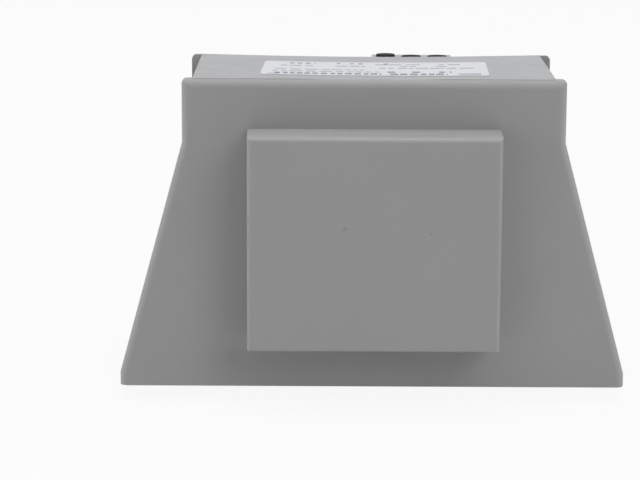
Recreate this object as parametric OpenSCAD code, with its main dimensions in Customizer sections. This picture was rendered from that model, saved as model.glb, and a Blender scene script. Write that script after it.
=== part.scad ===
// Potted EI-core transformer for circuit boards, with a three-way screw terminal block.
// X runs along the base, Y from the front web to the rear web, Z up from the board.

/* [Core] */
// Width of the middle leg of the laminations
tongue_w = 26; // [22:1:30]
// Width of each outer leg
leg_w = 13; // [11:1:16]
// Width of each winding window
window_w = 13; // [12:0.5:16]
// Height of the winding windows
window_h = 39; // [34:1:46]
// Height of the yoke below and above the windows
yoke_h = 13; // [11:1:16]
// Thickness of the lamination stack
stack_t = 40; // [34:1:48]
// Radius of the punched corner holes
punch_r = 2.4; // [1.5:0.1:3]

/* [Coil] */
// Wall of the bobbin tube
tube_wall = 1.2; // [0.8:0.1:1.6]
// Thickness of each bobbin flange
bobbin_flange_t = 1.2; // [0.8:0.1:1.8]
// Play between the core and the bobbin
bobbin_clear = 0.2; // [0.1:0.05:0.4]
// Play between the bobbin flanges and the outer legs
coil_gap = 0.3; // [0.2:0.05:0.6]
// Thickness of the insulating tape over each winding
tape_t = 0.3; // [0.15:0.05:0.5]
// How far the flanges stand out past the tape
flange_cover = 0.4; // [0.2:0.1:1]
// Corner radius of the bobbin tube
tube_corner_r = 1; // [0.5:0.1:2]

/* [Case] */
// Wall of the front, the rear, the top and the coil boxes
wall = 2; // [1.6:0.1:2.6]
// Wall of the two sides of the block
side_wall = 1.8; // [1.4:0.1:2.4]
// Thickness of the webs where they stand free
web_t = 3; // [2.6:0.1:4]
// How far each web stands out past the side of the block
web_proud = 2.2; // [1.5:0.1:3.5]
// Height of the straight stretch of the webs, down from the top
web_straight = 14.6; // [10:0.2:20]
// How far each web spreads from its straight stretch to its foot
foot_spread = 14.5; // [11:0.5:20]
// Thickness of the foot flange between the webs
foot_t = 3; // [2:0.1:4]
// Gap in front of the core
core_front_gap = 0.2; // [0.1:0.05:0.5]
// Gap beside the core
core_side_gap = 0.2; // [0.1:0.05:0.5]
// Gap above the core
core_top_gap = 0.8; // [0.4:0.1:1.6]
// Resin under the core
core_bottom_cover = 3; // [2.6:0.1:5]
// Channel behind the core, which holds the leads and the pin strip
lead_channel = 2.4; // [2.3:0.1:4]
// Radius along the top edge of the webs' outer faces
web_top_r = 2.1; // [1:0.1:2.4]
// Radius along the side edges of the webs' outer faces
web_side_r = 1.7; // [1:0.1:2.2]
// Corner radius of the webs' outline
web_corner_r = 1.2; // [0.5:0.1:2]
// Corner radius along the top of the block
block_edge_r = 0.6; // [0.3:0.1:1]

/* [Coil boxes] */
// Gap beside the coil
box_side_gap = 0.45; // [0.3:0.05:1]
// Gap in front of the coil
box_front_gap = 0.5; // [0.3:0.1:1.5]
// Gap behind the coil, where the leads run
box_rear_gap = 2.7; // [2.5:0.1:4]
// Gap above and below the bobbin
box_end_gap = 2.9; // [2.5:0.1:4]
// Radius of the edges round the face of a box
box_edge_r = 1.2; // [0.6:0.1:1.6]
// Radius of the lower edge of that face
box_lower_r = 0.5; // [0.2:0.1:1]
// Draft angle of the sides and the underside of the boxes
box_draft = 0.9; // [0:0.1:1.5]

/* [Seam] */
// Depth of the locating lip of the rear cover
lip_depth = 1.2; // [0.6:0.1:1.3]
// Thickness of the locating lip
lip_t = 1; // [0.6:0.1:1.2]
// Play around the locating lip
lip_clear = 0.1; // [0.05:0.05:0.2]

/* [Sink] */
// Radius of the shallow hollow along the top face
sink_r = 1150; // [900:50:1500]
// Depth of the hollow at the front edge
sink_front = 0.1; // [0.05:0.01:0.2]
// Depth of the hollow at the rear edge
sink_rear = 0.75; // [0.4:0.05:1]

/* [Foot holes] */
// Radius of the screw holes in the foot flanges
foot_hole_r = 2.25; // [1.6:0.05:2.75]
// Distance from the outer edge of the foot to the hole centres
foot_hole_inset = 8.2; // [7:0.1:9]
// Distance between the two holes of one foot
foot_hole_pitch = 25; // [20:1:32]

/* [Resin] */
// How far the resin stays below the rim
resin_recess = 0.4; // [0.2:0.1:1]

/* [Pins] */
// Number of solder pins
pin_count = 6; // [4:2:6]
// Distance between the solder pins
pin_pitch = 10; // [9:0.5:11]
// Radius of the free ends
pin_r = 0.55; // [0.4:0.05:0.6]
// Radius of the shanks in the strip
pin_shank_r = 0.75; // [0.7:0.05:0.8]
// Length of the pins below the board face, tip included
pin_length = 3.5; // [3:0.1:4.5]
// Length of the tapered tips
pin_tip = 0.4; // [0.2:0.1:0.8]
// How far the shanks reach below the board face
pin_shoulder = 0.1; // [0.1:0.05:0.3]
// How far the shanks stand out above the strip
pin_above_strip = 2; // [1:0.5:2.5]
// Height of the pin strip
strip_h = 4; // [3:0.5:5]
// Play between the pin strip, the core and the cover
strip_clear = 0.2; // [0.1:0.05:0.4]
// Length of the strip past the outer pins
strip_end = 3; // [2:0.5:5]

/* [Leads] */
// Radius of the primary leads
primary_lead_r = 0.45; // [0.3:0.05:0.5]
// Radius of the secondary leads
secondary_lead_r = 0.6; // [0.4:0.05:0.7]
// Bend radius of the leads along their centre line
lead_bend_r = 1.2; // [0.8:0.1:1.4]
// Distance of the leads' centre lines from the bobbin flanges
lead_to_coil = 0.75; // [0.7:0.05:1]
// Play under the secondary leads where they run forward
lead_floor_gap = 0.6; // [0.3:0.1:0.8]
// Width of the thermal fuse
fuse_w = 5; // [4:0.5:6]
// Height of the thermal fuse
fuse_h = 6; // [4:0.5:8]
// Thickness of the thermal fuse
fuse_t = 2; // [1.6:0.1:2.2]

/* [Terminal block] */
// Distance between neighbouring clamps
clamp_pitch = 6.35; // [6.2:0.05:7]
// Distance of the middle clamp from the middle of the case
block_shift = 10.1; // [-12:0.1:12]
// Plastic outside the outer clamp chambers
block_end_wall = 0.95; // [0.8:0.05:1.5]
// Depth of the block from front to rear
block_depth = 10; // [9.2:0.1:10.4]
// Height of the block
block_h = 9.5; // [9.4:0.1:10.6]
// Distance of the block from the rear face of its coil box
block_setback = 1.25; // [1.2:0.05:1.6]
// Height of the chamfer along the top of the wire side
block_chamfer = 1.2; // [0.6:0.1:1.6]
// Radius of the screw holes
screw_hole_r = 2.45; // [2.35:0.05:2.6]
// Radius of the wire entries
wire_entry_r = 1.5; // [1.2:0.05:1.6]
// Height of the wire space under an open screw
wire_space_h = 3.1; // [2.8:0.1:3.3]
// Wall between the clamps and the wire side
entry_wall = 1.6; // [1.2:0.1:2]
// Width of the clamps
clamp_w = 4.6; // [4.2:0.1:4.8]
// Depth of the clamps
clamp_depth = 5.2; // [5:0.1:5.6]
// Height of the clamps
clamp_h = 6.4; // [6:0.1:6.8]
// Sheet thickness of the clamps
clamp_sheet = 0.7; // [0.5:0.1:0.8]
// Play around the clamps
clamp_clear = 0.1; // [0.05:0.05:0.2]
// Radius of the clamp screws' threads
screw_r = 1.5; // [1.2:0.1:1.6]
// Radius of the clamp screws' heads
screw_head_r = 2.3; // [2:0.05:2.3]
// Height of the screw heads
screw_head_h = 2; // [1.4:0.1:2.2]
// How far the screw heads stand out of the block
screw_proud = 0.15; // [0:0.05:0.3]
// How far the first clamp screw is turned out
first_screw_open = 0.35; // [0:0.05:0.5]
// Width of the screw slots
slot_w = 0.8; // [0.5:0.1:1]
// Depth of the screw slots
slot_depth = 0.9; // [0.5:0.1:1.1]
// Radius of the terminal tails
tail_r = 0.55; // [0.4:0.05:0.6]
// How far the tails reach below the shelf
tail_reach = 1.2; // [0.8:0.1:1.6]
// Play around the tails in the shelf
tail_clear = 0.2; // [0.1:0.05:0.3]
// Thickness of the contact bars
bar_t = 0.6; // [0.4:0.1:0.8]
// Radius of the locating pegs
peg_r = 0.6; // [0.4:0.05:0.65]
// Length of the locating pegs
peg_length = 1.4; // [1:0.1:1.5]
// Play around the locating pegs
peg_clear = 0.1; // [0.05:0.05:0.2]

/* [Label] */
// Width of the label
label_w = 52; // [40:1:60]
// Depth of the label from front to rear
label_depth = 25.7; // [16:0.1:28]
// Distance from the front face to the label
label_from_front = 7.4; // [6:0.1:10]
// Distance of the label's middle from the middle of the case
label_shift = 0.5; // [-3:0.05:3]
// Angle at which the label sits askew
label_turn = -1.5; // [-3:0.1:3]
// Thickness of the label
label_t = 0.15; // [0.1:0.05:0.3]
// Corner radius of the label
label_corner_r = 1.4; // [0.5:0.1:3]

/* [Hidden] */
// How far cuts run past the faces they open
past = wall / 2;
// Core, with its middle at x = 0
core_w = tongue_w + 2 * (window_w + leg_w);
core_h = window_h + 2 * yoke_h;
// Case, from the core outwards
case_depth = wall + core_front_gap + stack_t + lead_channel + wall;
front_y = -case_depth / 2;
rear_y = case_depth / 2;
inner_front_y = front_y + wall;
inner_rear_y = rear_y - wall;
core_front_y = inner_front_y + core_front_gap;
core_rear_y = core_front_y + stack_t;
core_mid_y = (core_front_y + core_rear_y) / 2;
core_z = core_bottom_cover;
core_top_z = core_z + core_h;
inner_half_w = core_w / 2 + core_side_gap;
block_half_w = inner_half_w + side_wall;
web_half_w = block_half_w + web_proud;
foot_half_w = web_half_w + foot_spread;
inner_top_z = core_top_z + core_top_gap;
case_h = inner_top_z + wall;
shoulder_z = case_h - web_straight;
skirt_lap = web_straight / 2;
seam_y = rear_y - web_t;
// Bobbin and windings, round the middle leg
window_z = core_z + yoke_h;
bobbin_z = window_z + bobbin_clear;
bobbin_h = window_h - 2 * bobbin_clear;
bobbin_mid_z = bobbin_z + bobbin_h / 2;
bore_w = tongue_w + 2 * bobbin_clear;
bore_depth = stack_t + 2 * bobbin_clear;
tube_w = bore_w + 2 * tube_wall;
tube_depth = bore_depth + 2 * tube_wall;
coil_reach = window_w - coil_gap;
flange_w = tongue_w + 2 * coil_reach;
flange_depth = stack_t + 2 * coil_reach;
flange_corner_r = tube_corner_r + coil_reach / 3;
tape_w = flange_w - 2 * flange_cover;
tape_depth = flange_depth - 2 * flange_cover;
winding_w = tape_w - 2 * tape_t;
winding_depth = tape_depth - 2 * tape_t;
chamber_h = (bobbin_h - 3 * bobbin_flange_t) / 2;
secondary_z = bobbin_z + bobbin_flange_t;
primary_z = secondary_z + chamber_h + bobbin_flange_t;
winding_rear_y = core_mid_y + winding_depth / 2;
tape_rear_y = core_mid_y + tape_depth / 2;
coil_rear_y = core_mid_y + flange_depth / 2;
coil_front_y = core_mid_y - flange_depth / 2;
// Coil boxes
box_half_w = flange_w / 2 + box_side_gap + wall;
box_front_y = coil_front_y - box_front_gap - wall;
box_rear_y = coil_rear_y + box_rear_gap + wall;
box_bottom_z = bobbin_z - box_end_gap - wall;
box_top_z = bobbin_z + bobbin_h + box_end_gap + wall;
shelf_z = box_top_z - wall;
// Hollow along the top, a wide arc that sinks lower towards the rear
sink_tilt = atan((sink_rear - sink_front) / case_depth);
sink_run_out = 5 * wall;
sink_steps = 24;
sink_half_angle = asin((web_half_w + past) / sink_r);
// Leads, in the gap behind the coil
lead_y = coil_rear_y + lead_to_coil;
primary_exit_z = primary_z + chamber_h / 2;
secondary_exit_z = secondary_z + chamber_h / 2;
secondary_run_z = box_bottom_z + wall + secondary_lead_r + lead_floor_gap;
// Pins and their strip, in the channel behind the core
strip_t = lead_channel - 2 * strip_clear;
pin_y = core_rear_y + lead_channel / 2;
strip_z = core_bottom_cover;
pin_top_z = strip_z + strip_h + pin_above_strip;
pin_x = [for (i = [0:pin_count - 1]) (i - (pin_count - 1) / 2) * pin_pitch];
lead_pins = [for (i = [(pin_count - 4) / 2:(pin_count - 4) / 2 + 3]) pin_x[i]];
// Terminal block, on the shelf of the rear box
clamp_x = [for (i = [-1:1]) block_shift + i * clamp_pitch];
block_z = box_top_z;
block_rear_y = box_rear_y - block_setback;
block_front_y = block_rear_y - block_depth;
block_top_z = block_z + block_h;
chamber_w = clamp_w + 2 * clamp_clear;
block_half = clamp_pitch + chamber_w / 2 + block_end_wall;
clamp_rear_y = block_rear_y - entry_wall - clamp_clear;
clamp_mid_y = clamp_rear_y - clamp_depth / 2;
clamp_z = block_z + clamp_clear;
clamp_top_z = clamp_z + clamp_h;
bar_z = clamp_z + clamp_sheet;
entry_z = bar_z + bar_t + wire_space_h / 2;
tail_end_z = shelf_z - tail_reach;
fuse_top_z = bobbin_z + bobbin_h - bobbin_flange_t;

$fn = 48;

// ---- shared shapes ----

// Box from one corner to the opposite one
module span(low, high) {
    translate(low) cube(high - low);
}

// Outline in X and Y with round corners
module round_outline(w, d, r) {
    square([w - 2 * r, d], center = true);
    square([w, d - 2 * r], center = true);
    for (sx = [-1, 1], sy = [-1, 1])
        translate([sx * (w / 2 - r), sy * (d / 2 - r)]) circle(r);
}

// Outline in X and Z, drawn from y_from to y_to
module along_y(y_from, y_to) {
    translate([0, y_to, 0]) rotate([90, 0, 0]) linear_extrude(y_to - y_from) children();
}

// Mirrors front shapes to the rear
module at_rear() {
    mirror([0, 1, 0]) children();
}

// ---- case ----

// Outline across the depth of a face that stands out, with drafted sides and round corners
module face_profile(low, high, low_draft, high_draft, low_r, high_r, depth) {
    low_u = low + (depth - low_r) * tan(low_draft) + low_r / cos(low_draft);
    high_u = high - (depth - high_r) * tan(high_draft) - high_r / cos(high_draft);
    polygon([[low, 0], [high, 0],
        [high_u + high_r * cos(high_draft), depth - high_r + high_r * sin(high_draft)],
        [high_u, depth], [low_u, depth],
        [low_u - low_r * cos(low_draft), depth - low_r + low_r * sin(low_draft)]]);
    translate([high_u, depth - high_r]) circle(high_r);
    translate([low_u, depth - low_r]) circle(low_r);
}

// Face profile in Y and Z, drawn across the width, and in X and Y, drawn upwards
module across(half, root_y) {
    translate([-half, root_y, 0]) rotate([0, -90, 180]) linear_extrude(2 * half) children();
}

module upwards(z_from, z_to, root_y) {
    translate([0, root_y, z_from]) mirror([0, 1, 0]) linear_extrude(z_to - z_from) children();
}

// Outline in X and Z with round upper corners
module arch(half, z_from, z_to, r) {
    translate([-half, z_from]) square([2 * half, z_to - r - z_from]);
    translate([r - half, z_from]) square([2 * (half - r), z_to - z_from]);
    for (s = [-1, 1]) translate([s * (half - r), z_to - r]) circle(r);
}

// Straight upper part of a web, rounded along its outer face
module web_head() {
    root_y = front_y + web_t;
    from_z = shoulder_z - skirt_lap;
    intersection() {
        across(web_half_w, root_y)
            face_profile(from_z, case_h, 0, 0, web_top_r, web_top_r, web_t);
        upwards(from_z, case_h, root_y)
            face_profile(-web_half_w, web_half_w, 0, 0, web_side_r, web_side_r, web_t);
        along_y(front_y, root_y) arch(web_half_w, from_z, case_h, web_corner_r);
    }
}

// Spread lower part of a web, down to the foot
module web_skirt() {
    r = web_side_r;
    intersection() {
        hull() {
            for (s = [-1, 1]) {
                translate([s * (web_half_w - r), front_y + r, shoulder_z]) sphere(r, $fn = 24);
                translate([s * (foot_half_w - r), front_y + r, 0])
                    cylinder(r = r, h = foot_t, $fn = 24);
            }
            along_y(front_y + r, front_y + web_t) polygon([
                [-foot_half_w, 0], [foot_half_w, 0], [foot_half_w, foot_t],
                [web_half_w, shoulder_z], [-web_half_w, shoulder_z], [-foot_half_w, foot_t]]);
        }
        span([-foot_half_w, front_y, 0], [foot_half_w, front_y + web_t, case_h]);
    }
}

module web() {
    web_head();
    web_skirt();
}

// Closed coil box in front of a web, whose face lies at face_y
module coil_box(face_y) {
    root_y = front_y + wall / 2;
    depth = root_y - face_y;
    half = box_half_w + depth * tan(box_draft);
    intersection() {
        across(half, root_y) face_profile(box_bottom_z, box_top_z, box_draft, 0,
            box_lower_r, box_edge_r, depth);
        upwards(box_bottom_z, box_top_z, root_y) face_profile(-half, half,
            box_draft, box_draft, box_edge_r, box_edge_r, depth);
    }
}

// Top and side walls of the block with its round upper edges, as a solid
module block() {
    along_y(front_y + web_t / 2, seam_y) arch(block_half_w, 0, case_h, block_edge_r);
}

// Space above the hollow of the top face, whose underside is raised by lift
module sink(lift) {
    arc = [for (i = [0:sink_steps]) (2 * i / sink_steps - 1) * sink_half_angle];
    translate([0, front_y, case_h - sink_front]) rotate([90 - sink_tilt, 0, 0])
        translate([0, 0, -case_depth - sink_run_out])
            linear_extrude(case_depth + 2 * sink_run_out) polygon(concat(
                [for (a = arc) [sink_r * sin(a), lift + sink_r * (1 - cos(a))]],
                [[web_half_w + past, sink_run_out], [-web_half_w - past, sink_run_out]]));
}

// Room for the core, open at the underside
module core_room() {
    span([-inner_half_w, inner_front_y, -past], [inner_half_w, seam_y, inner_top_z]);
}

// Recess of the rear web inside its lip
module cover_recess() {
    half = inner_half_w - lip_clear - lip_t;
    span([-half, seam_y - lip_depth - past, -past],
        [half, inner_rear_y, inner_top_z - lip_clear - lip_t]);
}

// Rooms inside the coil boxes
module front_coil_room() {
    span([wall - box_half_w, box_front_y + wall, box_bottom_z + wall],
        [box_half_w - wall, core_front_y, shelf_z]);
}

module rear_coil_room() {
    span([wall - box_half_w, core_rear_y, box_bottom_z + wall],
        [box_half_w - wall, box_rear_y - wall, shelf_z]);
}

module foot_holes() {
    for (sx = [-1, 1], sy = [-1, 1])
        translate([sx * (foot_half_w - foot_hole_inset), sy * foot_hole_pitch / 2, -past])
            cylinder(r = foot_hole_r, h = foot_t + 2 * past);
}

module housing_body() {
    color("#8b8b8e") difference() {
        union() {
            web();
            coil_box(box_front_y);
            block();
            span([-foot_half_w, front_y + web_t / 2, 0], [foot_half_w, seam_y, foot_t]);
        }
        core_room();
        front_coil_room();
        foot_holes();
        sink(0);
    }
}

// Lip on the inner side of the cover, round three edges of the core room
module cover_lip() {
    half = inner_half_w - lip_clear;
    difference() {
        span([-half, seam_y - lip_depth, 0], [half, inner_rear_y, inner_top_z - lip_clear]);
        cover_recess();
    }
}

module rear_cover() {
    color("#87878a") difference() {
        union() {
            at_rear() web();
            at_rear() coil_box(-box_rear_y);
            cover_lip();
        }
        cover_recess();
        rear_coil_room();
        sink(0);
        for (x = clamp_x) wire_up(x, lead_y, shelf_z - past, block_z + past, tail_r + tail_clear);
        pegs(peg_r + peg_clear, wall + past);
    }
}

// ---- core ----

// Corner holes of one yoke, seen in X and Z
module punched(z) {
    for (s = [-1, 1]) translate([s * (core_w - leg_w) / 2, z]) circle(punch_r);
}

module e_laminations() {
    color("#5c5f66") along_y(core_front_y, core_rear_y) difference() {
        translate([-core_w / 2, core_z]) square([core_w, yoke_h + window_h]);
        for (s = [-1, 1]) translate([s * (tongue_w + window_w) / 2 - window_w / 2, window_z])
            square([window_w, window_h + past]);
        punched(core_z + yoke_h / 2);
    }
}

module i_laminations() {
    color("#5c5f66") along_y(core_front_y, core_rear_y) difference() {
        translate([-core_w / 2, core_top_z - yoke_h]) square([core_w, yoke_h]);
        punched(core_top_z - yoke_h / 2);
    }
}

// ---- coil ----

// Ring round the middle leg, from z up
module coil_ring(z, h, outer_w, outer_depth, outer_r, inner_w, inner_depth, inner_r) {
    translate([0, core_mid_y, z]) linear_extrude(h) difference() {
        round_outline(outer_w, outer_depth, outer_r);
        round_outline(inner_w, inner_depth, inner_r);
    }
}

module bobbin() {
    flange_step = chamber_h + bobbin_flange_t;
    color("#d9d4c4") {
        difference() {
            union() {
                translate([0, core_mid_y, bobbin_z]) linear_extrude(bobbin_h)
                    round_outline(tube_w, tube_depth, tube_corner_r);
                for (i = [0:2]) translate([0, core_mid_y, bobbin_z + i * flange_step])
                    linear_extrude(bobbin_flange_t)
                        round_outline(flange_w, flange_depth, flange_corner_r);
            }
            translate([-bore_w / 2, core_mid_y - bore_depth / 2, bobbin_z - past])
                cube([bore_w, bore_depth, bobbin_h + 2 * past]);
        }
    }
}

module winding(z) {
    coil_ring(z, chamber_h, winding_w, winding_depth, flange_corner_r, tube_w, tube_depth,
        tube_corner_r);
}

module primary_winding() {
    color("#b06a35") winding(primary_z);
}

module secondary_winding() {
    color("#b8743c") winding(secondary_z);
}

module tape(z) {
    coil_ring(z, chamber_h, tape_w, tape_depth, flange_corner_r + tape_t, winding_w,
        winding_depth, flange_corner_r);
}

module primary_tape() {
    color("#d8b23a") difference() {
        tape(primary_z);
        for (i = [0:2]) primary_lead_end(i);
    }
}

module secondary_tape() {
    color("#d8b23a") difference() {
        tape(secondary_z);
        for (x = lead_pins) secondary_lead(x);
    }
}

// ---- leads ----

// Quarter bend of a wire in the plane of Y and Z, round its middle at y, z
module bend(x, y, z, r, from_angle) {
    translate([x, y, z]) rotate([90, 0, 90]) rotate([0, 0, from_angle])
        rotate_extrude(angle = 90, $fn = 48) translate([lead_bend_r, 0]) circle(r, $fn = 24);
}

// Straight wire upwards and straight wire rearwards
module wire_up(x, y, z_from, z_to, r) {
    translate([x, y, z_from]) cylinder(r = r, h = z_to - z_from, $fn = 24);
}

module wire_back(x, y_from, y_to, z, r) {
    translate([x, y_from, z]) rotate([-90, 0, 0]) cylinder(r = r, h = y_to - y_from, $fn = 24);
}

// Lower end of a primary lead, which turns into the winding
module primary_lead_end(i) {
    wire_back(clamp_x[i], winding_rear_y, lead_y - lead_bend_r, primary_exit_z, primary_lead_r);
    bend(clamp_x[i], lead_y - lead_bend_r, primary_exit_z + lead_bend_r, primary_lead_r, 270);
}

module primary_lead(i) {
    color("#c23b30") {
        primary_lead_end(i);
        wire_up(clamp_x[i], lead_y, primary_exit_z + lead_bend_r, tail_end_z, primary_lead_r);
    }
}

// The fuse sits in the first primary lead
module fused_lead_top() {
    color("#c23b30")
        wire_up(clamp_x[0], lead_y, fuse_top_z, tail_end_z, primary_lead_r);
}

module thermal_fuse() {
    color("#3f6f4a") {
        primary_lead_end(0);
        wire_up(clamp_x[0], lead_y, primary_exit_z + lead_bend_r, fuse_top_z - fuse_h / 2,
            primary_lead_r);
        translate([clamp_x[0] - fuse_w / 2, lead_y - fuse_t / 2, fuse_top_z - fuse_h])
            cube([fuse_w, fuse_t, fuse_h]);
    }
}

module secondary_lead(x) {
    b = lead_bend_r;
    r = secondary_lead_r;
    color("#2d5fa8") {
        wire_back(x, winding_rear_y, lead_y - b, secondary_exit_z, r);
        bend(x, lead_y - b, secondary_exit_z - b, r, 0);
        wire_up(x, lead_y, secondary_run_z + b, secondary_exit_z - b, r);
        bend(x, lead_y - b, secondary_run_z + b, r, 270);
        wire_back(x, pin_y + b, lead_y - b, secondary_run_z, r);
        bend(x, pin_y + b, secondary_run_z - b, r, 90);
        wire_up(x, pin_y, pin_top_z, secondary_run_z - b, r);
    }
}

// ---- pins ----

module pin_strip() {
    half = (pin_count - 1) / 2 * pin_pitch + strip_end;
    color("#2b2b2d") difference() {
        translate([-half, pin_y - strip_t / 2, strip_z]) cube([2 * half, strip_t, strip_h]);
        for (x = pin_x) wire_up(x, pin_y, strip_z - past, strip_z + strip_h + past, pin_shank_r);
    }
}

module solder_pin(i) {
    color("#c9c9c6") if (i < pin_count) translate([pin_x[i], pin_y, 0]) rotate_extrude($fn = 24)
        polygon([[0, -pin_length], [pin_r - pin_tip / 2, -pin_length],
            [pin_r, pin_tip - pin_length], [pin_r, -pin_shoulder], [pin_shank_r, -pin_shoulder],
            [pin_shank_r, pin_top_z], [0, pin_top_z]]);
}

// ---- resin ----

module potting_resin() {
    color("#6d6e72") difference() {
        union() {
            span([-inner_half_w, inner_front_y, resin_recess], [inner_half_w, seam_y, inner_top_z]);
            intersection() {
                cover_recess();
                span([-inner_half_w, seam_y, resin_recess], [inner_half_w, rear_y, case_h]);
            }
            front_coil_room();
            rear_coil_room();
        }
        cover_lip();
        e_laminations();
        i_laminations();
        bobbin();
        primary_winding();
        secondary_winding();
        tape(primary_z);
        tape(secondary_z);
        thermal_fuse();
        fused_lead_top();
        for (i = [1:2]) primary_lead(i);
        for (x = lead_pins) secondary_lead(x);
        for (i = [0:2]) wire_up(clamp_x[i], lead_y, tail_end_z, shelf_z + past, tail_r);
        for (i = [0:pin_count - 1]) solder_pin(i);
        pin_strip();
    }
}

// ---- label ----

// Everything below the top face, raised by lift
module under_top(lift) {
    difference() {
        span([-web_half_w, front_y, case_h - 2 * sink_rear],
            [web_half_w, rear_y, case_h + lift]);
        sink(lift);
    }
}

module label() {
    mid_y = front_y + label_from_front + label_depth / 2;
    color("#e6e6ea") difference() {
        intersection() {
            translate([label_shift, mid_y, case_h - sink_rear - past]) rotate([0, 0, label_turn])
                linear_extrude(sink_rear + 2 * past)
                round_outline(label_w, label_depth, label_corner_r);
            under_top(label_t);
        }
        under_top(0);
    }
}

// ---- terminal block ----

module pegs(r, depth) {
    for (s = [-1, 1]) translate([block_shift + s * clamp_pitch / 2,
        (block_front_y + block_rear_y) / 2, block_z - depth])
        cylinder(r = r, h = depth + past, $fn = 24);
}

// Chamber that holds a clamp, open at the underside
module clamp_chamber(x) {
    half_depth = clamp_depth / 2 + clamp_clear;
    span([x - chamber_w / 2, clamp_mid_y - half_depth, block_z - past],
        [x + chamber_w / 2, clamp_mid_y + half_depth, clamp_top_z + clamp_clear]);
}

module terminal_block() {
    c = block_chamfer;
    color("#9a9a9c") {
        difference() {
            translate([block_shift - block_half, 0, 0]) rotate([90, 0, 90])
                linear_extrude(2 * block_half) polygon([
                    [block_front_y, block_z], [block_rear_y, block_z],
                    [block_rear_y, block_top_z - c], [block_rear_y - c, block_top_z],
                    [block_front_y, block_top_z]]);
            for (x = clamp_x) {
                clamp_chamber(x);
                translate([x, clamp_mid_y, clamp_top_z]) cylinder(r = screw_hole_r, h = block_h);
                translate([x, clamp_mid_y, entry_z]) rotate([-90, 0, 0])
                    cylinder(r = wire_entry_r, h = block_depth);
            }
        }
        pegs(peg_r, peg_length);
    }
}

// Folded sheet cage with a thread in its roof and a slot for the tail in its floor
module wire_clamp(i) {
    window_w_in = clamp_w - 2 * clamp_sheet;
    window_h_in = clamp_h - 3 * clamp_sheet;
    color("#b9bcc0") translate([clamp_x[i], clamp_mid_y, clamp_z]) difference() {
        translate([-clamp_w / 2, -clamp_depth / 2, 0]) cube([clamp_w, clamp_depth, clamp_h]);
        translate([-window_w_in / 2, -clamp_depth, clamp_sheet])
            cube([window_w_in, 2 * clamp_depth, window_h_in]);
        cylinder(r = screw_r, h = clamp_h + past);
        wire_up(0, lead_y - clamp_mid_y, -past, clamp_sheet + past, tail_r + tail_clear);
    }
}

module clamp_screw(i) {
    opened = i == 0 ? first_screw_open : 0;
    top_z = block_top_z + screw_proud + opened;
    tip_z = bar_z + bar_t + wire_space_h + opened;
    color("#2c2c2e") translate([clamp_x[i], clamp_mid_y, 0]) difference() {
        union() {
            translate([0, 0, top_z - screw_head_h]) cylinder(r = screw_head_r, h = screw_head_h);
            translate([0, 0, tip_z]) cylinder(r = screw_r, h = top_z - screw_head_h - tip_z);
        }
        translate([-screw_head_r - past, -slot_w / 2, top_z - slot_depth])
            cube([2 * (screw_head_r + past), slot_w, slot_depth + past]);
    }
}

module terminal_tail(i) {
    bar_w = clamp_w - 2 * clamp_sheet - 2 * clamp_clear;
    color("#c9c9c6") {
        translate([clamp_x[i] - bar_w / 2, clamp_mid_y - clamp_depth / 2, bar_z])
            cube([bar_w, clamp_depth, bar_t]);
        wire_up(clamp_x[i], lead_y, tail_end_z, bar_z + bar_t / 2, tail_r);
    }
}

// ---- nodes ----

housing_body();
rear_cover();
e_laminations();
i_laminations();
bobbin();
primary_winding();
secondary_winding();
primary_tape();
secondary_tape();
thermal_fuse();
fused_lead_top();  // primary_lead_1
primary_lead(1);  // primary_lead_2
primary_lead(2);  // primary_lead_3
secondary_lead(lead_pins[0]);  // secondary_lead_1
secondary_lead(lead_pins[1]);  // secondary_lead_2
secondary_lead(lead_pins[2]);  // secondary_lead_3
secondary_lead(lead_pins[3]);  // secondary_lead_4
pin_strip();
solder_pin(0);  // solder_pin_1
solder_pin(1);  // solder_pin_2
solder_pin(2);  // solder_pin_3
solder_pin(3);  // solder_pin_4
solder_pin(4);  // solder_pin_5
solder_pin(5);  // solder_pin_6
potting_resin();
label();
terminal_block();
wire_clamp(0);  // wire_clamp_1
wire_clamp(1);  // wire_clamp_2
wire_clamp(2);  // wire_clamp_3
clamp_screw(0);  // clamp_screw_1
clamp_screw(1);  // clamp_screw_2
clamp_screw(2);  // clamp_screw_3
terminal_tail(0);  // terminal_tail_1
terminal_tail(1);  // terminal_tail_2
terminal_tail(2);  // terminal_tail_3
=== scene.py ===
import math
import random

import bmesh
import bpy
from mathutils import Matrix, Vector, kdtree, noise


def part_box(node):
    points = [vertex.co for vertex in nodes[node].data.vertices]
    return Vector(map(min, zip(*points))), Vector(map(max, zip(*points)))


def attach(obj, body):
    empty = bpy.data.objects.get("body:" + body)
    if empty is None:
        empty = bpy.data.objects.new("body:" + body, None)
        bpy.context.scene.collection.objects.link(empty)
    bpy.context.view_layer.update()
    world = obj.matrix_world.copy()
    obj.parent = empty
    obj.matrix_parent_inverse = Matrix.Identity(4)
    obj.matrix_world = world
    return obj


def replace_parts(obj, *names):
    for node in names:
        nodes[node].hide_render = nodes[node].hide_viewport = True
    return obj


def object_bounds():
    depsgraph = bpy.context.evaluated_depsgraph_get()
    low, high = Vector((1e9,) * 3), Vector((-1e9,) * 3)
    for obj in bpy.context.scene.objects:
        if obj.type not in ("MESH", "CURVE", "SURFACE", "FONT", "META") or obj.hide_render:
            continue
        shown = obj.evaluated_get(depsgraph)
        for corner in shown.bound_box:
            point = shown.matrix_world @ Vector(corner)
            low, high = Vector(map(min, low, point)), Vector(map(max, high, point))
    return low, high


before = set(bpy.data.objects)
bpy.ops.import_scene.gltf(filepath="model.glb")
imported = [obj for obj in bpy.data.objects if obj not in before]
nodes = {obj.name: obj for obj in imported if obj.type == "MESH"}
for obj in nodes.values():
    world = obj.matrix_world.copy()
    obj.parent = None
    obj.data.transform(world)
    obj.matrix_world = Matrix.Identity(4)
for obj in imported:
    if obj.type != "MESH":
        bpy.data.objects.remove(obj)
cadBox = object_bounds()
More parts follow.
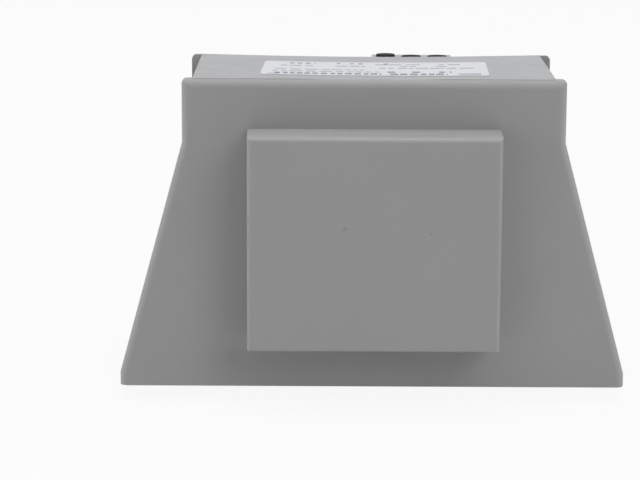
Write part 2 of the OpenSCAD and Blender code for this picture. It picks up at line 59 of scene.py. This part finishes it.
mm = 0.001
print("frame loaded,", len(nodes), "nodes")


def startMaterial(name):
    material = bpy.data.materials.new(name)
    material.use_nodes = True
    return material, material.node_tree, material.node_tree.nodes["Principled BSDF"]


def addNoise(tree, scale, detail=3.0, stretch=(1, 1, 1), roughness=0.5):
    # noise on Object coordinates, drawn out along an axis whose stretch is below 1
    coords = tree.nodes.new("ShaderNodeTexCoord")
    mapping = tree.nodes.new("ShaderNodeMapping")
    mapping.inputs["Scale"].default_value = stretch
    tree.links.new(coords.outputs["Object"], mapping.inputs["Vector"])
    cloud = tree.nodes.new("ShaderNodeTexNoise")
    cloud.inputs["Scale"].default_value = scale
    cloud.inputs["Detail"].default_value = detail
    cloud.inputs["Roughness"].default_value = roughness
    tree.links.new(mapping.outputs["Vector"], cloud.inputs["Vector"])
    return cloud.outputs["Fac"]


noiseSpan = (0.3, 0.7)      # the part of a noise's output in which nearly all of it lies


def addTint(tree, source, colour, spread):
    # a colour that goes a little darker and lighter with the noise
    ramp = tree.nodes.new("ShaderNodeValToRGB")
    for element, place, change in zip(ramp.color_ramp.elements, noiseSpan, (-spread, spread)):
        element.position = place
        element.color = (*(min(1, c * (1 + change)) for c in colour), 1)
    tree.links.new(source, ramp.inputs["Fac"])
    return ramp.outputs["Color"]


def addRange(tree, source, low, high):
    spread = tree.nodes.new("ShaderNodeMapRange")
    spread.inputs["From Min"].default_value, spread.inputs["From Max"].default_value = noiseSpan
    spread.inputs["To Min"].default_value = low
    spread.inputs["To Max"].default_value = high
    tree.links.new(source, spread.inputs["Value"])
    return spread.outputs["Result"]


def addBump(tree, source, distance, strength=1.0, after=None):
    bump = tree.nodes.new("ShaderNodeBump")
    bump.inputs["Distance"].default_value = distance
    bump.inputs["Strength"].default_value = strength
    tree.links.new(source, bump.inputs["Height"])
    if after is not None:
        tree.links.new(after, bump.inputs["Normal"])
    return bump.outputs["Normal"]


def mouldedPlastic(name, values):
    # satin moulded plastic: faint clouds, a fine spark grain and drag marks
    material, tree, shader = startMaterial(name)
    clouds = addNoise(tree, values["cloudScale"])
    tree.links.new(addTint(tree, clouds, values["colour"], values["clouds"]), shader.inputs["Base Color"])
    drag = addNoise(tree, values["dragScale"], values["dragDetail"], values["dragStretch"], values["dragFineness"])
    smoothest = values["roughness"] - values["polish"]
    roughest = values["roughness"] + values["drag"]
    tree.links.new(addRange(tree, drag, smoothest, roughest), shader.inputs["Roughness"])
    waves = addBump(tree, clouds, values["waveDepth"], values["wave"])
    grain = addNoise(tree, values["grainScale"], values["grainDetail"])
    grained = addBump(tree, grain, values["grainDepth"], values["grain"], waves)
    tree.links.new(grained, shader.inputs["Normal"])
    shader.inputs["Specular IOR Level"].default_value = values["gloss"]
    return material


def grainedFinish(name, values):
    # one noise gives the tint, the roughness and the grain of a small part
    material, tree, shader = startMaterial(name)
    values = {**grainDefaults, **values}
    grain = addNoise(tree, values["scale"], stretch=values["stretch"])
    tree.links.new(addTint(tree, grain, values["colour"], values["spread"]), shader.inputs["Base Color"])
    smoothest, roughest = values["roughness"] - values["patches"], values["roughness"] + values["patches"]
    tree.links.new(addRange(tree, grain, smoothest, roughest), shader.inputs["Roughness"])
    tree.links.new(addBump(tree, grain, values["depth"]), shader.inputs["Normal"])
    shader.inputs["Metallic"].default_value = values["metallic"]
    shader.inputs["Specular IOR Level"].default_value = values["gloss"]
    return material


casePlastic = {
    "colour": (0.362, 0.36, 0.366), "clouds": 0.014, "cloudScale": 34.0, "waveDepth": 0.4 * mm, "wave": 0.6,
    "roughness": 0.5, "polish": 0.05, "drag": 0.07, "dragScale": 120.0, "dragDetail": 6.0,
    "dragStretch": (1, 1, 0.35), "dragFineness": 0.6,
    "grainScale": 3200.0, "grainDetail": 2.0, "grainDepth": 0.03 * mm, "grain": 0.35, "gloss": 0.4,
}
plastics = {
    "casePlastic": casePlastic,
    "coverPlastic": {**casePlastic, "colour": (0.357, 0.355, 0.361)},
    "blockPlastic": {**casePlastic, "colour": (0.35, 0.35, 0.353), "roughness": 0.42},
}

grainDefaults = {
    "metallic": 0.0, "scale": 900.0, "depth": 0.02 * mm, "spread": 0.06, "patches": 0.05,
    "gloss": 0.5, "stretch": (1, 1, 1),
}
grainedFinishes = {
    "coreSteel": {"colour": (0.11, 0.12, 0.14), "roughness": 0.42, "metallic": 0.85, "scale": 2400.0,
                  "depth": 0.03 * mm, "spread": 0.18, "stretch": (0.05, 1, 0.05)},
    "bobbinNylon": {"colour": (0.66, 0.61, 0.5), "roughness": 0.45},
    "copperWinding": {"colour": (0.55, 0.22, 0.09), "roughness": 0.3, "metallic": 0.7, "scale": 1500.0,
                      "depth": 0.06 * mm, "spread": 0.15, "stretch": (0.1, 0.1, 1)},
    "insulatingTape": {"colour": (0.62, 0.43, 0.08), "roughness": 0.35},
    "fuseEpoxy": {"colour": (0.06, 0.2, 0.1), "roughness": 0.35},
    "redLead": {"colour": (0.5, 0.04, 0.03), "roughness": 0.4},
    "blueLead": {"colour": (0.03, 0.1, 0.4), "roughness": 0.4},
    "stripPlastic": {"colour": (0.02, 0.02, 0.022), "roughness": 0.5},
    "tinnedPin": {"colour": (0.62, 0.62, 0.6), "roughness": 0.28, "metallic": 1.0, "scale": 1400.0,
                  "spread": 0.08},
    "pottingResin": {"colour": (0.12, 0.122, 0.13), "roughness": 0.3, "scale": 260.0, "depth": 0.12 * mm,
                     "spread": 0.1, "gloss": 0.45},
    "labelFilm": {"colour": (0.655, 0.655, 0.68), "roughness": 0.4, "scale": 300.0, "depth": 0.03 * mm,
                  "spread": 0.015, "gloss": 0.4},
    "labelInk": {"colour": (0.11, 0.115, 0.15), "roughness": 0.45},
    "paleInk": {"colour": (0.3, 0.3, 0.36), "roughness": 0.45},
    "clampSteel": {"colour": (0.45, 0.46, 0.48), "roughness": 0.3, "metallic": 1.0},
    "blackScrew": {"colour": (0.014, 0.014, 0.015), "roughness": 0.75, "scale": 1800.0, "depth": 0.03 * mm,
                   "spread": 0.2, "gloss": 0.15},
}

finishes = {name: mouldedPlastic(name, values) for name, values in plastics.items()}
finishes.update({name: grainedFinish(name, values) for name, values in grainedFinishes.items()})

nodeFinishes = {
    "housing_body": "casePlastic", "rear_cover": "coverPlastic", "terminal_block": "blockPlastic",
    "e_laminations": "coreSteel", "i_laminations": "coreSteel", "bobbin": "bobbinNylon",
    "primary_winding": "copperWinding", "secondary_winding": "copperWinding",
    "primary_tape": "insulatingTape", "secondary_tape": "insulatingTape", "thermal_fuse": "fuseEpoxy",
    "primary_lead": "redLead", "secondary_lead": "blueLead", "pin_strip": "stripPlastic",
    "solder_pin": "tinnedPin", "terminal_tail": "tinnedPin", "potting_resin": "pottingResin",
    "label": "labelFilm", "wire_clamp": "clampSteel", "clamp_screw": "blackScrew",
}


def finishOf(nodeName):
    # a numbered node, such as one of the pins, has the finish of its row
    return finishes[nodeFinishes[nodeName.rstrip("0123456789").rstrip("_")]]


for nodeName, node in nodes.items():
    if node.material_slots:
        for slot in node.material_slots:
            slot.material = finishOf(nodeName)
    else:
        node.data.materials.append(finishOf(nodeName))
print("finishes put on the nodes")


def newPiece(name, mesh, material):
    piece = bpy.data.objects.new(name, mesh)
    bpy.context.scene.collection.objects.link(piece)
    piece.data.materials.append(material)
    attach(piece, "root")
    return piece


def meshFrom(bm, name, sharpAbove=None):
    # sharpAbove: angle in degrees from which an edge stays crisp, None for flat faces
    if sharpAbove is not None:
        bm.normal_update()
        for face in bm.faces:
            face.smooth = True
        for edge in bm.edges:
            edge.smooth = edge.is_manifold and edge.calc_face_angle() < math.radians(sharpAbove)
    mesh = bpy.data.meshes.new(name)
    bm.to_mesh(mesh)
    bm.free()
    return mesh


def mergedCopy(nodeName, values):
    # the node's loose triangles joined up, with its flat faces made whole
    bm = bmesh.new()
    bm.from_mesh(nodes[nodeName].data)
    bmesh.ops.remove_doubles(bm, verts=bm.verts, dist=values["mergeWithin"])
    flat = math.radians(values["flatWithin"])
    bmesh.ops.dissolve_limit(bm, angle_limit=flat, verts=bm.verts, edges=bm.edges)
    return bm


def cutFaces(bm, pick, point, normal):
    # cuts only the picked faces along a plane, so the rest of the shape keeps its faces
    faces = [f for f in bm.faces if pick(f)]
    edges = {e for f in faces for e in f.edges}
    verts = {v for f in faces for v in f.verts}
    bmesh.ops.bisect_plane(bm, geom=[*faces, *edges, *verts], plane_co=point, plane_no=normal, dist=1e-7)


# the case mouldings, smooth, with the moulding marks that the plain solids lack (angles in degrees)
mouldingValues = {
    "mergeWithin": 0.002 * mm, "flatWithin": 0.03, "sharpAbove": 32,
    "creaseBack": 5.5 * mm,      # from the face of a coil box to the sink line on its top
    "creaseHalf": 2.6 * mm, "creaseDepth": 0.32 * mm,
    "creaseCuts": (-1, -0.67, -0.33, 0, 0.33, 0.67, 1), "creaseStep": 7.0 * mm,
    "creaseFade": 3.0 * mm, "creaseEnd": 0.6,      # it fades, then stops, near the ends of the top
    "wander": 0.35, "wanderScale": 90, "wanderShift": 50,
    # a box's points and its top lie this near its face, and the top is this flat
    "boxReach": 8 * mm, "topReach": 14 * mm, "topRange": 0.8 * mm, "topLevel": 0.97,
    "blockMargin": 1.0 * mm,
    # broken-off moulding gates on a coil box: across, up, and half their width
    "gateMarks": [(-6.55 * mm, 39.4 * mm, 0.42 * mm), (12.5 * mm, 38.4 * mm, 0.22 * mm)],
    "gateDepth": 0.18 * mm, "gateLip": 0.1 * mm, "gateTaper": 0.3,
    "faceRange": 0.05 * mm, "faceSquare": 0.99,      # which faces count as the box's flat face
    "blockEdge": 0.15 * mm, "blockSharp": 50,      # soft edges of the terminal block
}


def sinkLine(bm, faceY, inwards):
    # a shallow line where the plastic sank behind the edge of the box top
    values = mouldingValues
    boxVerts = [v.co for v in bm.verts if abs(v.co.y - faceY) < values["boxReach"]]
    top, halfWidth = max(co.z for co in boxVerts), max(co.x for co in boxVerts)
    middle = faceY + inwards * values["creaseBack"]

    def onTop(face):
        place = face.calc_center_median()
        return (face.normal.z > values["topLevel"] and abs(place.z - top) < values["topRange"]
                and abs(place.y - faceY) < values["topReach"] and abs(place.x) < halfWidth)

    for share in values["creaseCuts"]:
        cutFaces(bm, onTop, (0, middle + share * values["creaseHalf"], 0), (0, 1, 0))
    steps = int(halfWidth / values["creaseStep"])
    for step in range(-steps, steps + 1):
        cutFaces(bm, onTop, (step * values["creaseStep"], 0, 0), (1, 0, 0))
    blockLow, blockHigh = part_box("terminal_block")
    blockFrom, blockTo = blockLow.x - values["blockMargin"], blockHigh.x + values["blockMargin"]
    for v in {v for f in bm.faces if onTop(f) for v in f.verts}:
        if middle > 0 and blockFrom < v.co.x < blockTo:
            continue      # the terminal block stands here
        away = abs(v.co.y - middle) / values["creaseHalf"]
        inside = (halfWidth - abs(v.co.x)) / values["creaseFade"]
        if away < 1 and inside > values["creaseEnd"]:
            place = Vector((v.co.x * values["wanderScale"], faceY * values["wanderShift"], 0))
            depth = values["creaseDepth"] * (1 + values["wander"] * noise.noise(place))
            v.co.z -= depth * 0.5 * (1 + math.cos(math.pi * away)) * min(1, inside)


def gateMark(bm, faceY, x, z, half):
    # a small pit in the flat face, with a narrow band round it and a smaller floor
    values = mouldingValues

    def onFace(face):
        away = abs(face.calc_center_median().y - faceY)
        return abs(face.normal.y) > values["faceSquare"] and away < values["faceRange"]

    for offset in (-half, half):
        cutFaces(bm, onFace, (x + offset, 0, 0), (1, 0, 0))
        cutFaces(bm, onFace, (0, 0, z + offset), (0, 0, 1))
    taper = values["gateTaper"] * half
    middle = Vector((x, faceY, z))
    pits = [f for f in bm.faces if onFace(f) and (f.calc_center_median() - middle).length < taper]
    bmesh.ops.inset_individual(bm, faces=pits, thickness=values["gateLip"], depth=0)
    bmesh.ops.inset_individual(bm, faces=pits, thickness=taper, depth=-values["gateDepth"])


def moulding(name, nodeName, boxSide=0):
    # boxSide: -1 for the coil box at the front, 1 for the one at the back, 0 for no coil box
    values = mouldingValues
    bm = mergedCopy(nodeName, values)
    if boxSide:
        faceY = max(v.co.y * boxSide for v in bm.verts) * boxSide
        sinkLine(bm, faceY, -boxSide)
        for x, z, half in values["gateMarks"]:
            gateMark(bm, faceY, x, z, half)
    piece = newPiece(name, meshFrom(bm, name, values["sharpAbove"]), finishOf(nodeName))
    if not boxSide:
        rounded = piece.modifiers.new("softEdges", "BEVEL")
        rounded.width = values["blockEdge"]
        rounded.segments = 2
        rounded.limit_method = "ANGLE"
        rounded.angle_limit = math.radians(values["blockSharp"])
    weighted = piece.modifiers.new("evenFlats", "WEIGHTED_NORMAL")
    weighted.keep_sharp = True
    weighted.weight = 100
    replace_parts(piece, nodeName)


moulding("caseShell", "housing_body", -1)
moulding("coverShell", "rear_cover", 1)
moulding("blockShell", "terminal_block")
print("case mouldings made")


# the resin, with the dished and slightly wavy pool it sets to at the underside
poolValues = {
    "mergeWithin": 0.002 * mm, "flatWithin": 0.05, "sharpAbove": 30, "cell": 2.6 * mm,
    "dish": 0.3 * mm, "creep": 2.2 * mm,       # how far it sinks, and how far from a wall it still climbs
    "ripple": 0.07 * mm, "rippleScale": 110.0,
    "poolRange": 0.02 * mm, "poolLevel": 0.9,      # which faces count as the pool's
}


def resinPool():
    values = poolValues
    bm = mergedCopy("potting_resin", values)
    low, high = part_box("potting_resin")

    def inPool(face):
        away = abs(face.calc_center_median().z - low.z)
        return face.normal.z < -values["poolLevel"] and away < values["poolRange"]

    for axis, normal in ((0, (1, 0, 0)), (1, (0, 1, 0))):
        place = low[axis] + values["cell"]
        while place < high[axis]:
            cutFaces(bm, inPool, Vector(normal) * place, normal)
            place += values["cell"]
    pool = {f for f in bm.faces if inPool(f)}
    inner, rim = [], []
    for v in {v for f in pool for v in f.verts}:
        (inner if all(f in pool for f in v.link_faces) else rim).append(v)
    walls = kdtree.KDTree(len(rim))
    for index, v in enumerate(rim):
        walls.insert(v.co, index)
    walls.balance()
    for v in inner:
        away = walls.find(v.co)[2]
        wave = values["ripple"] * noise.noise(v.co * values["rippleScale"])
        v.co.z += (values["dish"] + wave) * (1 - math.exp(-away / values["creep"]))
    mesh = meshFrom(bm, "resinPool", values["sharpAbove"])
    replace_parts(newPiece("resinPool", mesh, finishOf("potting_resin")), "potting_resin")


resinPool()
print("resin made")


# marks on the label: plain bars and dashes in rows, with no letters
# in millimetres, a row is its start and end across the film, its place up it, its height, its bars'
# widths, the gaps between them and the share of them that is drawn; a field is place, width and height
printMarks = {
    "inkDepth": 0.03 * mm, "lift": 0.004 * mm, "filmWidth": 52 * mm, "filmDepth": 25.7 * mm,
    "turn": -1.5, "seed": 7,
    "boldRows": [
        (3.2, 27.5, 2.0, 2.1, (1.0, 1.7), (0.45, 0.8), 1.0),
        (29.5, 42.5, 1.6, 2.3, (1.1, 2.0), (0.4, 0.7), 1.0),
        (29.0, 43.5, 5.6, 2.0, (0.9, 2.2), (0.4, 1.6), 0.8),
    ],
    "paleRows": [
        (2.5, 27, 6.2, 1.0, (0.8, 3.4), (0.4, 1.1), 0.95),
        (3, 24, 9.8, 1.0, (0.8, 3.4), (0.4, 1.1), 0.9),
        (27, 49, 13.4, 1.0, (0.8, 3.4), (0.4, 1.1), 0.95),
        (4, 45, 17.0, 1.0, (0.8, 3.4), (0.4, 1.1), 0.8),
        (26, 47, 20.6, 1.0, (0.8, 3.4), (0.4, 1.1), 0.7),
    ],
    "rearRows": [
        (6, 12, 21.5, 1.5, (0.8, 1.2), (0.6, 1.0), 1.0),
        (17, 30, 21.8, 1.3, (0.6, 1.2), (0.8, 3.4), 0.7),
    ],
    "boldField": (1.6, 1.3, 2.6, 0.5), "paleField": (45.2, 1.4, 5.0, 2.2),
}


def barRow(dice, start, end, up, height, widths, gaps, share):
    # one row of bars, each with a random width
    bars = []
    while start < end:
        width = dice.uniform(*widths)
        if dice.random() < share:
            bars.append((start, up, min(width, end - start), height))
        start += width + dice.uniform(*gaps)
    return bars


def labelHeight(x, y):
    # height of the label's upper side at a point, found by a ray from above
    hit, place, normal, index = nodes["label"].ray_cast(Vector((x, y, 2 * cadBox[1].z)), Vector((0, 0, -1)))
    return place.z if hit else None


def printPiece(name, bars, material):
    # each bar is turned with the film, laid on it and raised by the ink's depth
    values = printMarks
    low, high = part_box("label")
    middle = ((low + high) / 2).to_2d()
    corner = Vector((-values["filmWidth"] / 2, -values["filmDepth"] / 2))
    turned = Matrix.Rotation(math.radians(values["turn"]), 2)
    bm = bmesh.new()
    for x, y, width, height in bars:
        outline = [(x, y), (x + width, y), (x + width, y + height), (x, y + height)]
        places = [middle + turned @ (corner + Vector(point) * mm) for point in outline]
        heights = [labelHeight(*place) for place in places]
        if None in heights:
            continue
        face = bm.faces.new([bm.verts.new((*place, z + values["lift"])) for place, z in zip(places, heights)])
        made = bmesh.ops.extrude_face_region(bm, geom=[face])["geom"]
        raised = [v for v in made if isinstance(v, bmesh.types.BMVert)]
        bmesh.ops.translate(bm, verts=raised, vec=(0, 0, values["inkDepth"]))
    bmesh.ops.recalc_face_normals(bm, faces=bm.faces)
    newPiece(name, meshFrom(bm, name), material)


def labelPrint():
    values = printMarks
    dice = random.Random(values["seed"])
    bold = [bar for row in values["boldRows"] for bar in barRow(dice, *row)] + [values["boldField"]]
    pale = [values["paleField"]] + [bar for row in values["paleRows"] for bar in barRow(dice, *row)]
    bold += [bar for row in values["rearRows"] for bar in barRow(dice, *row)]
    printPiece("labelBars", bold, finishes["labelInk"])
    printPiece("labelDashes", pale, finishes["paleInk"])


labelPrint()
print("label marks made")


# a pale floor, soft lamps round the part and a camera at the front, in metres, watts and degrees
stageValues = {"floorSize": 6.0, "floorColour": (0.8, 0.8, 0.8, 1), "floorWhite": 0.92}
lamps = {
    "topLamp": {"place": (0.0, -0.077, 2.199), "size": 1.4, "power": 23.0, "colour": (1.0, 0.985, 0.96)},
    "rightFrontLamp": {"place": (1.034, -1.476, 1.262), "size": 1.1, "power": 12.7},
    "leftFrontLamp": {"place": (-1.034, -1.476, 1.262), "size": 1.1, "power": 1.8},
    "leftLowLamp": {"place": (-1.234, -1.763, 0.457), "size": 1.1, "power": 3.5},
    "rearLamp": {"place": (0.0, 1.556, 1.556), "size": 1.2, "power": 6.3, "colour": (0.7, 0.82, 1.0)},
    "leftEdgeLamp": {"place": (-2.15, 0.25, 0.35), "size": 1.0, "power": 4.5},
    "rightSideLamp": {"place": (2.1, -0.32, 0.4), "size": 0.5, "power": 7.2},
    "leftSideLamp": {"place": (-2.1, -0.32, 0.4), "size": 0.5, "power": 7.0},
    "rightHighLamp": {"place": (1.7, 0.35, 1.35), "size": 1.0, "power": 3.2},
    "leftHighLamp": {"place": (-1.7, 0.35, 1.35), "size": 1.0, "power": 7.6},
}
cameraValues = {
    "lens": 133.4, "sensor": 36, "clip": (0.01, 50), "place": (-10.93 * mm, -548.95 * mm, 143.49 * mm),
    "pitch": 11.741, "yaw": 0.1185, "roll": 0.248,
}


def seenAsWhite(tree):
    # 1 for what the camera, a reflection or clear stuff sees, 0 for all other light
    path = tree.nodes.new("ShaderNodeLightPath")
    seen = path.outputs["Is Camera Ray"]
    for other in ("Is Glossy Ray", "Is Transmission Ray"):
        either = tree.nodes.new("ShaderNodeMath")
        either.operation = "MAXIMUM"
        tree.links.new(seen, either.inputs[0])
        tree.links.new(path.outputs[other], either.inputs[1])
        seen = either.outputs[0]
    return seen


def makeWorld():
    world = bpy.data.worlds.new("studio")
    bpy.context.scene.world = world
    world.use_nodes = True
    background = world.node_tree.nodes["Background"]
    background.inputs["Color"].default_value = (1, 1, 1, 1)
    world.node_tree.links.new(seenAsWhite(world.node_tree), background.inputs["Strength"])


def makeFloor():
    # pale paper that keeps the shadow, mixed with white where it is seen
    bm = bmesh.new()
    bmesh.ops.create_grid(bm, x_segments=1, y_segments=1, size=stageValues["floorSize"])
    bmesh.ops.translate(bm, verts=bm.verts, vec=(0, 0, cadBox[0].z))
    floor = bpy.data.objects.new("studioFloor", meshFrom(bm, "studioFloor"))
    bpy.context.scene.collection.objects.link(floor)
    material, tree, shader = startMaterial("paleFloor")
    paper = tree.nodes.new("ShaderNodeBsdfDiffuse")
    paper.inputs["Color"].default_value = stageValues["floorColour"]
    glow = tree.nodes.new("ShaderNodeEmission")
    share = tree.nodes.new("ShaderNodeMath")
    share.operation = "MULTIPLY"
    share.inputs[1].default_value = stageValues["floorWhite"]
    tree.links.new(seenAsWhite(tree), share.inputs[0])
    mix = tree.nodes.new("ShaderNodeMixShader")
    tree.links.new(share.outputs[0], mix.inputs["Fac"])
    tree.links.new(paper.outputs[0], mix.inputs[1])
    tree.links.new(glow.outputs[0], mix.inputs[2])
    tree.links.new(mix.outputs[0], tree.nodes["Material Output"].inputs["Surface"])
    tree.nodes.remove(shader)
    floor.data.materials.append(material)


def areaLamp(name, place, power, size, colour=(1, 1, 1)):
    # a square soft lamp that points at the middle of the part
    lamp = bpy.data.lights.new(name, "AREA")
    lamp.shape = "SQUARE"
    lamp.size = size
    lamp.energy = power
    lamp.color = colour
    holder = bpy.data.objects.new(name, lamp)
    bpy.context.scene.collection.objects.link(holder)
    holder.location = place
    holder.rotation_mode = "QUATERNION"
    middle = (cadBox[0] + cadBox[1]) / 2
    holder.rotation_quaternion = (middle - Vector(place)).to_track_quat("-Z", "Y")


def makeCamera():
    values = cameraValues
    data = bpy.data.cameras.new("camera")
    data.sensor_width = values["sensor"]
    data.lens = values["lens"]
    data.clip_start, data.clip_end = values["clip"]
    camera = bpy.data.objects.new("camera", data)
    bpy.context.scene.collection.objects.link(camera)
    turn = (Matrix.Rotation(math.radians(values["yaw"]), 4, "Z")
            @ Matrix.Rotation(math.radians(90 - values["pitch"]), 4, "X")
            @ Matrix.Rotation(math.radians(values["roll"]), 4, "Z"))
    camera.matrix_world = Matrix.Translation(values["place"]) @ turn
    bpy.context.scene.camera = camera


makeWorld()
makeFloor()
for lampName, lampValues in lamps.items():
    areaLamp(lampName, **lampValues)
makeCamera()
bpy.context.scene.view_settings.view_transform = "Standard"
print("stage, light and camera set")
